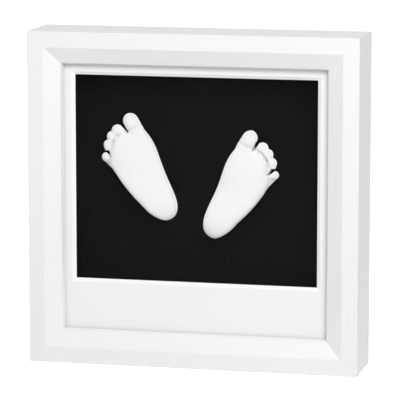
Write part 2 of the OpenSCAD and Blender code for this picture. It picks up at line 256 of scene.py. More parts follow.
# %% [markdown]
# ## Mat card
#
# The mat is white card: a smooth paper face over a core that shows where the window is
# cut. One piece can carry several finishes, face by face, so the core is a material of
# its own. The cut is the brightest line on the mat, and a painted glow, a little Emission,
# lifts it, because more light would burn out the white paint beside it.


# %% Mat card and its core
def mat_card():
    material, start = new_finish("mat_card")
    cloud = noise(start, scale=25, detail=3)
    tooth = noise(start, scale=2600, detail=4, rough=0.65)
    principled(
        start,
        Base_Color=blend(cloud, (0.95, 0.949, 0.944, 1), (0.97, 0.969, 0.965, 1)),
        Roughness=between(tooth, 0.75, 0.9),
        Normal=bump(tooth, depth=0.03 * MM),
        Specular_IOR_Level=0.25,
    )
    return material


def glowing_card_core():
    material, start = new_finish("glowing_card_core")
    fibre = noise(start, scale=3200, detail=4, rough=0.7)
    principled(
        start,
        Base_Color=blend(fibre, (0.76, 0.76, 0.756, 1), (0.8, 0.8, 0.796, 1)),
        Roughness=0.92,
        Normal=bump(fibre, depth=0.03 * MM),
        Specular_IOR_Level=0.2,
        # Painted glow: Emission lifts the cut's core above what the lamps give it.
        Emission_Color=(1, 1, 1, 1),
        Emission_Strength=0.26,
    )
    return material


mat_face, glowing_mat_core = mat_card(), glowing_card_core()
print("mat:", mat_face.name, glowing_mat_core.name)

# %% [markdown]
# ## Black board
#
# The board behind the casts is faced with matt black paper. Black paper isn't quite
# black: its tone has soft clouds, and its fibres stand up as a fine tooth. A low specular
# level keeps the lamps from turning it grey.


# %% Black board
def black_board():
    material, start = new_finish("black_board")
    cloud = noise(start, scale=30, detail=3)
    tooth = noise(start, scale=2200, detail=4, rough=0.65)
    principled(
        start,
        Base_Color=blend(
            0.6 * cloud + 0.4 * tooth, (0.0024, 0.0026, 0.0031, 1), (0.0052, 0.0056, 0.0065, 1)
        ),
        Roughness=between(tooth, 0.8, 0.95),
        Normal=bump(tooth, depth=0.04 * MM),
        Specular_IOR_Level=0.07,
    )
    return material


board_black = black_board()
print("board:", board_black.name)

# %% [markdown]
# ## Plaster
#
# Cast plaster is matt and chalky, with a clouded tone and small pits where air bubbles
# were. Full diffuse roughness spreads the light as powder does, so the sole looks even
# right up to its rim. The folds get painted shade, a darker grey in the colour. An
# attribute on the mesh, `fold`, says where, so the painted shade lies in each fold however the foot
# leans.


# %% Plaster
def spread(share, low, high):
    """The part of a noise between two levels, stretched to run from 0 to 1."""
    stops = ((low, (0, 0, 0, 1)), (high, (1, 1, 1, 1)))
    return share.node("ShaderNodeValToRGB", {"stops": stops}, {"Fac": share})


def cast_plaster():
    material, start = new_finish("cast_plaster")
    cloud = noise(start, scale=110, detail=3)
    pits = spread(noise(start, scale=900, detail=1), 0.28, 0.4)
    skin = noise(start, scale=2400, detail=4, rough=0.6)
    # Painted shade: the fold attribute says where a darker grey goes into the plaster's colour.
    fold_shade = start.node("ShaderNodeAttribute", {"attribute_name": "fold"}, output="Fac")
    clean = blend(cloud, (0.91, 0.908, 0.9, 1), (0.945, 0.943, 0.935, 1))
    principled(
        start,
        # The grey mixed in at the folds is painted shade; clean is the plaster's own colour.
        Base_Color=blend(fold_shade, clean, (0.68, 0.675, 0.665, 1)),
        Roughness=between(skin, 0.82, 0.95),
        Diffuse_Roughness=1.0,
        Normal=bump(0.7 * pits + 0.3 * skin, depth=0.07 * MM),
        Specular_IOR_Level=0.2,
    )
    return material


plaster = cast_plaster()
print("casts:", plaster.name)

# %% [markdown]
# ## Hardboard and bare fibreboard
#
# The back panel is brown hardboard, pressed from chips and fibres on a wire screen that
# leaves its weave on the face. Two crossed waves, multiplied, give that weave. The rails
# carry no paint at the back, where their raw fibreboard shows.


# %% Hardboard
def hardboard():
    material, start = new_finish("hardboard")
    chips = noise(start, scale=240, detail=6, rough=0.75)
    fibre = noise(start, scale=1500, detail=4, rough=0.7)
    flecks = spread(noise(start, scale=520, detail=3), 0.56, 0.7)
    tone = spread(0.7 * chips + 0.3 * fibre, 0.35, 0.65)
    brown = blend(tone, (0.15, 0.082, 0.04, 1), (0.37, 0.225, 0.125, 1))
    place = start.node("ShaderNodeTexCoord", output="Object")
    weave = [
        start.node(
            "ShaderNodeTexWave",
            {"bands_direction": axis, "wave_profile": "SIN"},
            {"Vector": place, "Scale": 180.0, "Distortion": 0.4},
        )
        for axis in ("X", "Z")
    ]
    screen = weave[0] * weave[1]
    principled(
        start,
        Base_Color=blend(0.6 * flecks, brown, (0.09, 0.048, 0.024, 1)),
        Roughness=between(fibre, 0.62, 0.85),
        Normal=bump(0.5 * screen + 0.5 * fibre, depth=0.12 * MM),
        Specular_IOR_Level=0.3,
    )
    return material


board_brown = hardboard()
print("back panel:", board_brown.name)


# %% Bare fibreboard
def bare_fibreboard():
    material, start = new_finish("bare_fibreboard")
    cloud = noise(start, scale=320, detail=6, rough=0.75)
    fibre = noise(start, scale=2100, detail=4, rough=0.75)
    tone = spread(0.6 * cloud + 0.4 * fibre, 0.3, 0.7)
    principled(
        start,
        Base_Color=blend(tone, (0.33, 0.225, 0.13, 1), (0.6, 0.46, 0.31, 1)),
        Roughness=0.9,
        Normal=bump(fibre, depth=0.06 * MM),
        Specular_IOR_Level=0.2,
    )
    return material


bare_wood = bare_fibreboard()
print("back of the rails:", bare_wood.name)

# %% [markdown]
# ## Zinc, acrylic and foam
#
# The hardware is zinc plated: a cool grey metal with a clouded gloss and fine scratches.
# The pane is thin clear acrylic. Transmission would bend the light as real acrylic does,
# but a flat sheet bends none that shows, so a low Alpha gives the same look with less
# grain in the render. The tape under the casts is white foam with small cells.


# %% Zinc plate
def zinc_plate():
    material, start = new_finish("zinc_plate")
    cloud = noise(start, scale=220, detail=3)
    scratch = noise(start, scale=3000, detail=3, stretch=(1, 1, 0.1))
    principled(
        start,
        Base_Color=blend(
            0.6 * cloud + 0.4 * scratch, (0.3, 0.31, 0.325, 1), (0.56, 0.57, 0.58, 1)
        ),
        Metallic=1.0,
        Roughness=between(0.5 * cloud + 0.5 * scratch, 0.24, 0.44),
        Normal=bump(scratch, depth=0.01 * MM),
    )
    return material


zinc = zinc_plate()
print("hardware:", zinc.name)


# %% Clear acrylic and foam tape
def clear_acrylic():
    material, start = new_finish("clear_acrylic")
    smear = noise(start, scale=35, detail=3)
    principled(
        start,
        Base_Color=(0.02, 0.022, 0.023, 1),
        Roughness=between(smear, 0.03, 0.08),
        Alpha=0.03,
    )
    return material


def foam_tape():
    material, start = new_finish("foam_tape")
    cells = noise(start, scale=1800)
    principled(
        start,
        Base_Color=blend(cells, (0.7, 0.68, 0.62, 1), (0.8, 0.78, 0.73, 1)),
        Roughness=0.9,
        Normal=bump(cells, depth=0.1 * MM),
    )
    return material


pane_clear, tape = clear_acrylic(), foam_tape()
print("pane and tape:", pane_clear.name, tape.name)

# %% [markdown]
# ## Modelling by hand, in code
#
# An operator acts on whatever is selected, and the load leaves the CAD nodes selected,
# so everything is deselected first. In edit mode, `pick` then selects vertices, edges
# or faces by their place or normal, as a hand with a mouse would.


# %% Helpers for modelling
NEAR = 0.01 * MM


def deselect():
    if bpy.context.mode != "OBJECT":
        bpy.ops.object.mode_set(mode="OBJECT")
    bpy.ops.object.select_all(action="DESELECT")


def only(piece):
    """Make a piece the one that is selected and active."""
    deselect()
    piece.select_set(True)
    bpy.context.view_layer.objects.active = piece


def begin(name, add, **size):
    """Add a primitive, name it and open it in edit mode."""
    deselect()
    add(**size)
    piece = bpy.context.object
    piece.name = piece.data.name = name
    bpy.ops.object.transform_apply(location=True, rotation=True, scale=True)
    bpy.ops.object.mode_set(mode="EDIT")
    return piece


def pick(kind, test):
    """In edit mode, select the vertices, edges or faces that pass a test."""
    mesh = bmesh.from_edit_mesh(bpy.context.edit_object.data)
    bpy.ops.mesh.select_mode(type=kind)
    bpy.ops.mesh.select_all(action="DESELECT")
    parts = {"VERT": mesh.verts, "EDGE": mesh.edges, "FACE": mesh.faces}[kind]
    for part in parts:
        part.select_set(test(part))
    bmesh.update_edit_mesh(bpy.context.edit_object.data)


def smooth(piece, degrees=30):
    """Smooth shading, with edges sharper than this left crisp."""
    only(piece)
    bpy.ops.object.shade_smooth_by_angle(angle=math.radians(degrees))


print("modelling helpers ready")

# %% [markdown]
# ## One rail
#
# A framer cuts four lengths of one moulding and joins them at mitres. The same way works
# here: one vertex is extruded from point to point round the moulding's section, the
# outline is filled and extruded to the length of a rail, its arrises are rounded, and
# two slanted cuts make the mitres. A block with parts cut away would need more steps. A
# hairline stays open at each mitre, so that the ends of two rails don't share a plane.

# %% Sizes of the moulding
FACE_W = 12 * MM
BEVEL_W, BEVEL_DROP = 12 * MM, 6 * MM
WALL = 15 * MM
LIP_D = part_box("glazing_pane")[0].y - FRONT_Y
FACE_R, LIP_R, ARRIS_R = 0.5 * MM, 0.6 * MM, 0.3 * MM
ROUND_STEPS = 5
MITRE_GAP = 0.02 * MM
FRAME_D = BACK_Y - FRONT_Y
# Each corner of the section: its depth from the front, and how far in it lies.
section = [
    (0, 0), (0, FACE_W), (BEVEL_DROP, FACE_W + BEVEL_W), (LIP_D, SIGHT_W),
    (LIP_D, WALL), (FRAME_D, WALL), (FRAME_D, 0),
]
print("section in mm:", [in_mm(corner) for corner in section])


# %% One rail
def trace(name, points):
    """Extrude one vertex along a chain of points, close the chain and fill it."""
    piece = begin(name, bpy.ops.mesh.primitive_plane_add, size=MM, location=points[0])
    bpy.ops.mesh.merge(type="CENTER")
    for here, there in zip(points, points[1:] + points[:1]):
        bpy.ops.mesh.extrude_region_move(TRANSFORM_OT_translate={"value": there - here})
    bpy.ops.mesh.select_all(action="SELECT")
    bpy.ops.mesh.remove_doubles(threshold=NEAR)
    bpy.ops.mesh.edge_face_add()
    return piece


def make_rail(name):
    """A rail along X, with its outer side on Z = 0 and a mitre at each end."""
    start = Vector((-FRAME_W / 2, FRONT_Y, 0))
    piece = trace(name, [start + Vector((0, depth, inward)) for depth, inward in section])
    bpy.ops.mesh.extrude_region_move(TRANSFORM_OT_translate={"value": (FRAME_W, 0, 0)})
    bpy.ops.mesh.select_all(action="SELECT")
    bpy.ops.mesh.normals_make_consistent(inside=False)

    def runs_from(edge, corners):
        one, other = (vertex.co - start for vertex in edge.verts)
        at_corner = any((one.yz - Vector(corner)).length < NEAR for corner in corners)
        return at_corner and abs(one.x - other.x) > FRAME_W / 2

    rounds = ((FACE_R, section[:2]), (LIP_R, section[2:3]), (ARRIS_R, section[3:]))
    for radius, corners in rounds:
        pick("EDGE", lambda edge: runs_from(edge, corners))
        bpy.ops.mesh.bevel(offset=radius, segments=ROUND_STEPS, affect="EDGES")
    for end in (-1, 1):
        bpy.ops.mesh.select_all(action="SELECT")
        bpy.ops.mesh.bisect(
            plane_co=(end * (FRAME_W / 2 - MITRE_GAP), 0, 0), plane_no=(end, 0, 1),
            use_fill=True, clear_outer=True, threshold=NEAR / 10,
        )
    bpy.ops.object.mode_set(mode="OBJECT")
    smooth(piece)
    return piece


bottom_rail = make_rail("bottom_rail_painted")
print("rail has", len(bottom_rail.data.polygons), "faces")

# %% [markdown]
# ## Four rails
#
# The other three rails are copies of the first, turned round the middle of the frame by
# one, two and three quarters. Each turn is applied, so that every rail sits at the origin
# with its place in a mesh of its own.


# %% Four rails
def turn_about(point, angle):
    """A turn about a line along Y through a point."""
    return Matrix.Translation(point) @ Matrix.Rotation(angle, 4, "Y") @ Matrix.Translation(-point)


def placed_copy(piece, name, place):
    """A copy with its own mesh, moved and turned by a matrix."""
    only(piece)
    bpy.ops.object.duplicate()
    copy = bpy.context.object
    copy.name = copy.data.name = name
    copy.matrix_world = place
    bpy.ops.object.transform_apply(location=True, rotation=True, scale=True)
    return copy


rails = {"bottom_rail": bottom_rail}
for quarters, node in enumerate(("left_rail", "top_rail", "right_rail"), start=1):
    place = turn_about(MIDDLE, quarters * math.pi / 2)
    rails[node] = placed_copy(bottom_rail, node + "_painted", place)
print("rails:", ", ".join(rails))

# %% [markdown]
# ## Slots of the corner nails
#
# A V-nail is driven into the back of each mitre and sinks a little below the surface. A
# copy of the CAD nails, drawn out past the back, is the tool that cuts their slots, so
# the slots fit the nails. The front and the sides are then painted, and the back isn't.


# %% Helpers for cutting
def join_doubles(piece):
    """Open a piece in edit mode and merge the vertices that lie on each other."""
    only(piece)
    bpy.ops.object.mode_set(mode="EDIT")
    bpy.ops.mesh.select_all(action="SELECT")
    bpy.ops.mesh.remove_doubles(threshold=NEAR / 10)


def merged_copy(node, name):
    """A CAD node's mesh as a new object, with its loose triangles joined into clean faces."""
    piece = bpy.data.objects.new(name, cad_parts[node].data.copy())
    bpy.context.collection.objects.link(piece)
    piece.data.materials.clear()
    join_doubles(piece)
    bpy.ops.mesh.dissolve_limited(angle_limit=math.radians(1))
    bpy.ops.object.mode_set(mode="OBJECT")
    return piece


def apply_modifier(piece, kind, **settings):
    modifier = piece.modifiers.new(kind, kind)
    for name, value in settings.items():
        setattr(modifier, name, value)
    only(piece)
    bpy.ops.object.modifier_apply(modifier=modifier.name)


def cut_out(piece, cutter):
    """Cut one piece with another, and merge the slivers that a cut can leave."""
    apply_modifier(piece, "BOOLEAN", operation="DIFFERENCE", object=cutter, solver="EXACT")
    join_doubles(piece)
    bpy.ops.object.mode_set(mode="OBJECT")


print("cutting helpers ready")

# %% Slots, and paint on the rails
PAST_BACK = 2 * MM
FACING = 0.9  # a normal this far along an axis faces that way
SLOT_AREA = 2e-4  # square metres; every face in a slot is smaller


def settle(piece, body, slot, *nodes):
    """Attach a finished piece to the body that carries it, and hide the CAD nodes it stands for;
    slot is not used.
    """
    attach(piece, body)
    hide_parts(*nodes)


nail_low, nail_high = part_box("corner_v_nails")
slot_cutter = merged_copy("corner_v_nails", "slot_cutter")
bpy.ops.object.mode_set(mode="EDIT")
pick("VERT", lambda v: v.co.y > nail_high.y - NEAR)
bpy.ops.transform.translate(value=(0, PAST_BACK, 0))
bpy.ops.object.mode_set(mode="OBJECT")
for node, rail in rails.items():
    cut_out(rail, slot_cutter)
    paint = level_paint if node in ("bottom_rail", "top_rail") else upright_paint
    rail.data.materials.clear()
    rail.data.materials.append(paint)
    rail.data.materials.append(bare_wood)
    for face in rail.data.polygons:
        at_back = face.normal.y > FACING and face.center.y > FRONT_Y + LIP_D + NEAR
        in_slot = face.center.y > nail_low.y - NEAR and face.area < SLOT_AREA
        face.material_index = int(at_back or in_slot)
    apply_modifier(rail, "WEIGHTED_NORMAL", keep_sharp=True)
    settle(rail, "frame", "white_paint", node)
    print(rail.name, in_mm(rail.dimensions), len(rail.data.polygons), "faces")
bpy.data.objects.remove(slot_cutter)

# %% [markdown]
# ## Window mat
#
# A mat cutter leans the blade, so the window's edge is a 45 degree slope of bright core.
# A block is scored by four bisects into a grid, the middle faces are bridged into a
# hole, and the front rim of the hole is pushed out by the card's thickness. A hair of air
# stays between pane and card, because faces in one plane shade each other at random.

# %% Sizes of the window
AIR = 0.05 * MM
SIDE_SHOW, FOOT_SHOW = 7.8 * MM, 37.8 * MM
mat_low, mat_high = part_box("window_mat")
mat_low.y += AIR
MAT_T = mat_high.y - mat_low.y
WINDOW_X = FRAME_W / 2 - SIGHT_W - SIDE_SHOW
WINDOW_LOW = SIGHT_W + FOOT_SHOW
WINDOW_HIGH = FRAME_H - SIGHT_W - SIDE_SHOW
window_middle = Vector((0, mat_low.y, (WINDOW_LOW + WINDOW_HIGH) / 2))
window_size = Vector((2 * WINDOW_X, 1, WINDOW_HIGH - WINDOW_LOW))
print("mat window in mm:", in_mm((window_size.x, window_size.z)))


# %% Window mat
def in_window(point):
    return abs(point.x) < WINDOW_X + NEAR and WINDOW_LOW - NEAR < point.z < WINDOW_HIGH + NEAR


mat = begin(
    "window_mat_cut", bpy.ops.mesh.primitive_cube_add,
    size=1, location=(mat_low + mat_high) / 2, scale=mat_high - mat_low,
)
cuts = [((x, 0, 0), (1, 0, 0)) for x in (-WINDOW_X, WINDOW_X)]
cuts += [((0, 0, z), (0, 0, 1)) for z in (WINDOW_LOW, WINDOW_HIGH)]
for place, normal in cuts:
    bpy.ops.mesh.select_all(action="SELECT")
    bpy.ops.mesh.bisect(plane_co=place, plane_no=normal)
pick("FACE", lambda face: abs(face.normal.y) > FACING and in_window(face.calc_center_median()))
bpy.ops.mesh.bridge_edge_loops()
pick("VERT", lambda v: in_window(v.co) and v.co.y < mat_low.y + NEAR)
flare = [(size + 2 * MAT_T) / size for size in (window_size.x, window_size.z)]
bpy.ops.transform.resize(value=(flare[0], 1, flare[1]), center_override=window_middle)
bpy.ops.object.mode_set(mode="OBJECT")
mat.data.materials.append(mat_face)
mat.data.materials.append(glowing_mat_core)
for face in mat.data.polygons:
    face.material_index = int(1 - FACING < abs(face.normal.y) < FACING)
settle(mat, "frame", "mat_card", "window_mat")
print(mat.name, in_mm(mat.dimensions), len(mat.data.polygons), "faces")

# %% [markdown]
# ## Skin of the casts
#
# Each cast starts as a copy of its CAD solid. It could be sculpted with brushes, but the
# script has to give the same foot on every run, so modifiers do the first part: a voxel
# remesh lays an even skin over it, and smoothing turns its joints into soft flesh.

# %% Skin of the casts
VOXEL = 0.4 * MM


def cast_skin(node, name):
    piece = merged_copy(node, name)
    apply_modifier(piece, "REMESH", mode="VOXEL", voxel_size=VOXEL)
    apply_modifier(piece, "SMOOTH", factor=0.5, iterations=12)
    piece.data.materials.append(plaster)
    smooth(piece, degrees=180)
    return piece


print("skin in voxels of", *in_mm([VOXEL]), "mm")

# %% [markdown]
# ## Places on a foot
#
# A sculptor points at a toe or at the arch, not at metres in a room. So each vertex also
# gets its place on its own foot, in millimetres: across it to the inner side, along it
# from the heel, and out of its back. One set of places then serves both feet.

# %% Places on a foot
PAD_T = 1.5 * MM
CAST_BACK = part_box("mounting_board")[0].y - PAD_T


def vertex_array(mesh, name):
    """The places or the normals of all vertices, one row each."""
    values = np.empty(3 * len(mesh.vertices))
    mesh.vertices.foreach_get(name, values)
    return values.reshape(-1, 3)


def on_the_foot(points, heel, lean, mirror):
    """World points as mm across a foot, along it and out of its back."""
    turn = math.radians(lean)
    x = (points[:, 0] - window_middle.x) / MM - heel[0]
    z = (points[:, 2] - window_middle.z) / MM - heel[1]
    across = mirror * (x * math.cos(turn) - z * math.sin(turn))
    along = x * math.sin(turn) + z * math.cos(turn)
    return across, along, (CAST_BACK - points[:, 1]) / MM


print("casts lie", *in_mm([PAD_T]), "mm off the board")

# %% [markdown]
# ## Soft areas
#
# A brush has a soft edge, so that it leaves no step. The same holds for the areas that are
# worked on here: an oval patch fades out all round its middle, and a soft step fades out
# along one line.

# %% Soft areas
# Middle and size of each patch, in mm across the foot and along it.
AREAS = {
    "big_toe_bend": ((6, 74), (5, 5)),
    "big_toe_side": ((11.5, 72.5), (3, 5)),
    "behind_toes": ((-11.5, 68.5), (10, 9)),
    "fourth_toe": ((-20.5, 66.2), (2.2, 1.6)),
    "cleft_end": ((-19, 61), (3, 3)),
    "little_toe": ((-23, 56), (6, 6)),
    "little_toe_base": ((-19.6, 57.5), (2.5, 3)),
    "foot_bend": ((4, 43), (6, 6)),
    "next_bend": ((4, 36), (7, 5)),
    "arch": ((10, 40), (5, 14)),
}


def patch(across, along, area):
    """1 in the middle of an area, falling softly to 0 outside it."""
    middle, size = AREAS[area]
    return np.exp(-(((across - middle[0]) / size[0]) ** 2) - ((along - middle[1]) / size[1]) ** 2)


def ease(value, low, high):
    """A soft step from 0 at low to 1 at high, in either direction."""
    share = np.clip((value - low) / (high - low), 0, 1)
    return share * share * (3 - 2 * share)


print("areas:", ", ".join(AREAS))

# %% [markdown]
# ## Outline of the casts
#
# After smoothing, a side, a toe or a heel can lie a millimetre or two off the real
# outline. The grab brush would drag it there. Here every vertex is dragged by as much as
# its area asks, so neighbours move together. The sole is also crowned, because flesh
# rounds off towards its rim.

# %% Outline of the casts
CROWN = 1.6  # mm that the rim of the sole lies behind its middle
CLEFT_LEAN = 0.3  # share of a cleft's length that goes inwards


def fit_outline(mesh, place, inner, outer, little_toe, big_toe, heel_end, cleft):
    """Slim sides and end toes, lengthen the heel and the outer cleft, in mm, and crown the sole."""
    points = vertex_array(mesh, "co")
    across, along, out = on_the_foot(points, **place)
    outer_side = ease(across, -2, -12) * ease(along, 6, 18) * ease(along, 56, 50)
    inner_side = ease(across, 2, 10)
    big_toe_side = ease(across, 3, 10) * ease(along, 70, 82)
    heel = ease(along, 22, 2)
    cleft_end = patch(across, along, "cleft_end")
    sideways = outer * outer_side + little_toe * patch(across, along, "little_toe")
    sideways += CLEFT_LEAN * cleft * cleft_end - inner * inner_side - big_toe * big_toe_side
    lengthways = -heel_end * heel - cleft * cleft_end
    midline, half_width = 1.5 - 0.125 * along, 10.8 + 0.18 * along
    rim = np.clip((across - midline) / half_width, -1, 1) ** 2
    crown = CROWN * rim * ease(along, 70, 58) * ease(out, 4, 14)
    turn, mirror = math.radians(place["lean"]), place["mirror"]
    points[:, 0] += MM * (mirror * sideways * math.cos(turn) + lengthways * math.sin(turn))
    points[:, 1] += MM * crown
    points[:, 2] += MM * (lengthways * math.cos(turn) - mirror * sideways * math.sin(turn))
    mesh.vertices.foreach_set("co", points.ravel())
    mesh.update()


print("soles crowned by", CROWN, "mm")

# %% [markdown]
# ## Folds of the skin
#
# A plaster cast keeps the folds of the skin: straight ones at the bends of the foot and of
# its end toes, and two arcs behind the others. They are pressed in by moving vertices
# along their normals, as a sculpting brush would. The same masks become the `fold`
# attribute, which paints shade into the folds as a darker grey in the plaster's colour.

# %% Folds of the skin
# Straight folds: a place on each in mm, its slope along the foot, and its width.
CREASES = {
    "big_toe_bend": ((6, 73.8), 0.12, 1.2),
    "little_toe_base": ((-18.7, 60), 25 / 9, 2.5),
    "foot_bend": ((0, 42), 0.45, 1.5),
    "next_bend": ((0, 35), 0.2, 2.0),
}
# Arcs round a place on the ball of the foot: the radius of each in mm, and its width.
ARC_MIDDLE = (-3, 60)
ARCS = {"toe_arc": (13.7, 1.1), "inner_arc": (11, 0.8)}


def groove(distance, width):
    """1 on a line, falling softly to 0 within about twice the width from it."""
    return np.exp(-((distance / width) ** 2))


def skin_folds(across, along):
    """The folds by name, each as a mask that is 1 where the fold is deepest."""
    masks = {"arch": patch(across, along, "arch")}
    for name, (start, slope, width) in CREASES.items():
        ahead = along - start[1] - slope * (across - start[0])
        masks[name] = groove(ahead, width) * patch(across, along, name)
    for name, (radius, width) in ARCS.items():
        away = np.hypot(across - ARC_MIDDLE[0], along - ARC_MIDDLE[1])
        masks[name] = groove(away - radius, width) * patch(across, along, "behind_toes")
    return masks


print("folds:", ", ".join((*CREASES, *ARCS)))

# %% Depth of the folds
# Depths and swellings are in mm, and painted shade is a share.
FOLD_DEPTH = {
    "big_toe_bend": 0.6, "toe_arc": 1.0, "inner_arc": 0.2, "little_toe_base": 0.6,
    "foot_bend": 0.2, "next_bend": 0.15, "arch": 0.5,
}
# How much painted shade, a darker grey in the colour, each fold gets, as a share.
FOLD_SHADE = {"big_toe_bend": 0.4, "toe_arc": 0.7, "inner_arc": 0.25, "little_toe_base": 0.6}
SWELL = {"big_toe_side": 0.9, "fourth_toe": 1.1}


def press_folds(mesh, place):
    """Press the folds in, let two toes swell, and keep where the painted shade lies."""
    points, normals = vertex_array(mesh, "co"), vertex_array(mesh, "normal")
    across, along, out = on_the_foot(points, **place)
    front, off_the_back = np.clip((out - 6) / 6, 0, 1), np.clip(out / 4, 0, 1)
    masks = skin_folds(across, along)
    depth = front * sum(FOLD_DEPTH[name] * masks[name] for name in FOLD_DEPTH)
    # Painted shade: the fold masks, summed, darken the plaster's colour in the folds.
    fold_shade = front * np.clip(sum(FOLD_SHADE[name] * masks[name] for name in FOLD_SHADE), 0, 1)
    swell = off_the_back * sum(SWELL[name] * patch(across, along, name) for name in SWELL)
    points += normals * ((swell - depth) * MM)[:, None]
    mesh.attributes.new("fold", "FLOAT", "POINT").data.foreach_set("value", fold_shade)
    mesh.vertices.foreach_set("co", points.ravel())
    mesh.update()


print("deepest fold:", max(FOLD_DEPTH.values()), "mm")

# %% [markdown]
# ## Both casts
#
# Two feet of a pair are alike but not the same. Both go through the same steps, and each
# has its own place on the board and its own small corrections, in millimetres.

# %% Both casts
feet = {
    "right_foot_cast": dict(heel=(-27.1, -34.0), lean=-23.5, mirror=1),
    "left_foot_cast": dict(heel=(12.4, -44.8), lean=22.5, mirror=-1),
}
fits = {
    "right_foot_cast": dict(
        inner=0.6, outer=0.9, little_toe=-0.5, big_toe=0, heel_end=0.5, cleft=0.8
    ),
    "left_foot_cast": dict(
        inner=-0.2, outer=1.0, little_toe=1.0, big_toe=1.0, heel_end=2.1, cleft=1.8
    ),
}
for node, place in feet.items():
    cast = cast_skin(node, node + "_plaster")
    fit_outline(cast.data, place, **fits[node])
    press_folds(cast.data, place)
    settle(cast, "frame", "plaster", node)
    print(cast.name, len(cast.data.polygons), "faces")

# %% [markdown]
# ## Turn buttons
#
# A turn button is a strip of sheet metal, punched out with round ends and bent up at the
# tip for a finger. A disc becomes that outline when its right half is moved out to the
# tip and made smaller. It is then thickened, bent and drilled, and its edges are eased.

# %% Sizes of a turn button
button_low, button_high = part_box("upper_left_turn_button")
BUTTON_W = button_high.z - button_low.z
BUTTON_T = 1.2 * MM
TIP_W, TIP_L = 7 * MM, 6 * MM
TIP_LIFT = button_high.y - button_low.y - BUTTON_T
HOLE_R = 1.58 * MM
BUTTON_EDGE = 0.2 * MM
pivot = Vector((button_low.x + BUTTON_W / 2, button_low.y, (button_low.z + button_high.z) / 2))
print("pivot of the upper left button in mm:", in_mm(pivot))


# %% One turn button
def make_button(name):
    """A strip from the pivot to the tip, bent up at the tip and drilled for the screw."""
    piece = begin(
        name, bpy.ops.mesh.primitive_circle_add, vertices=48, radius=BUTTON_W / 2,
        fill_type="NGON", location=pivot, rotation=(math.pi / 2, 0, 0),
    )
    tip = Vector((button_high.x - TIP_W / 2, pivot.y, pivot.z))
    pick("VERT", lambda v: v.co.x > pivot.x + NEAR)
    bpy.ops.transform.translate(value=tip - pivot)
    bpy.ops.transform.resize(value=(TIP_W / BUTTON_W, 1, TIP_W / BUTTON_W), center_override=tip)
    bpy.ops.mesh.select_all(action="SELECT")
    bpy.ops.mesh.extrude_region_move(TRANSFORM_OT_translate={"value": (0, BUTTON_T, 0)})
    bpy.ops.mesh.select_all(action="SELECT")
    bpy.ops.mesh.normals_make_consistent(inside=False)
    bend_x = button_high.x - TIP_L
    bpy.ops.mesh.bisect(plane_co=(bend_x, 0, 0), plane_no=(1, 0, 0))
    pick("VERT", lambda v: v.co.x > bend_x + NEAR)
    # With no window open, this operator turns the other way, so the angle is negative.
    bpy.ops.transform.rotate(
        value=-math.atan2(TIP_LIFT, TIP_L), orient_axis="Z",
        center_override=(bend_x, pivot.y, pivot.z),
    )
    drill = begin(
        "drill", bpy.ops.mesh.primitive_cylinder_add, vertices=32, radius=HOLE_R,
        depth=4 * BUTTON_T, location=pivot, rotation=(math.pi / 2, 0, 0),
    )
    cut_out(piece, drill)
    bpy.data.objects.remove(drill)
    return piece


upper_left = make_button("upper_left_turn_button_zinc")
print("button has", len(upper_left.data.polygons), "faces before its edges are eased")


# %% Eased edges of sheet metal
def ease_edges(piece, width, degrees):
    """Round the edges that are sharper than this, and plate the piece with zinc."""
    apply_modifier(
        piece, "BEVEL", width=width, segments=2,
        limit_method="ANGLE", angle_limit=math.radians(degrees),
    )
    smooth(piece)
    piece.data.materials.append(zinc)


ease_edges(upper_left, BUTTON_EDGE, degrees=40)
print("button in mm:", in_mm(upper_left.dimensions))

# %% [markdown]
# ## Screws
#
# Each button turns on a round-headed screw with a cross recess. Half a ball, pressed flat,
# is the head, its flat side is inset and extruded to the shank, and two crossed bars cut
# the recess. No fitter leaves four slots in line, so each copy is turned a little more.

# %% One screw
HEAD_R, HEAD_H, SHANK_R = 3.2 * MM, 1.5 * MM, 1.5 * MM
RECESS_L, RECESS_W, RECESS_D = 3.4 * MM, 0.7 * MM, 0.8 * MM
SHANK_L = 10 * MM
HEAD_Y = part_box("turn_button_screws")[1].y - HEAD_H


def make_screw(name):
    """A screw at the upper left pivot, with its head on the button and its shank in the rail."""
    seat = Vector((pivot.x, HEAD_Y, pivot.z))
    piece = begin(
        name, bpy.ops.mesh.primitive_uv_sphere_add, segments=32, ring_count=16, radius=HEAD_R,
        location=seat, rotation=(math.pi / 2, 0, 0),
    )
    bpy.ops.mesh.select_all(action="SELECT")
    bpy.ops.mesh.bisect(plane_co=seat, plane_no=(0, 1, 0), use_fill=True, clear_inner=True)
    bpy.ops.mesh.select_all(action="SELECT")
    bpy.ops.transform.resize(value=(1, HEAD_H / HEAD_R, 1), center_override=seat)
    pick("FACE", lambda face: face.normal.y < -FACING)
    bpy.ops.mesh.inset(thickness=HEAD_R - SHANK_R)
    bpy.ops.mesh.extrude_region_move(TRANSFORM_OT_translate={"value": (0, -SHANK_L, 0)})
    top = seat + Vector((0, HEAD_H, 0))
    for wide, tall in ((RECESS_L, RECESS_W), (RECESS_W, RECESS_L)):
        bar = begin(
            "bar", bpy.ops.mesh.primitive_cube_add, size=1, location=top,
            scale=(wide, 2 * RECESS_D, tall),
        )
        cut_out(piece, bar)
        bpy.data.objects.remove(bar)
    smooth(piece)
    piece.data.materials.append(zinc)
    return piece


screw = make_screw("upper_left_screw_zinc")
print("screw in mm:", in_mm(screw.dimensions), len(screw.data.polygons), "faces")

# %% [markdown]
# ## Four buttons on four screws
#
# The button and the screw are patterns. Every corner gets a copy of each, moved down or
# turned round the middle of the frame. A button rides on its own body, because it turns,
# and its screw rides on the frame.

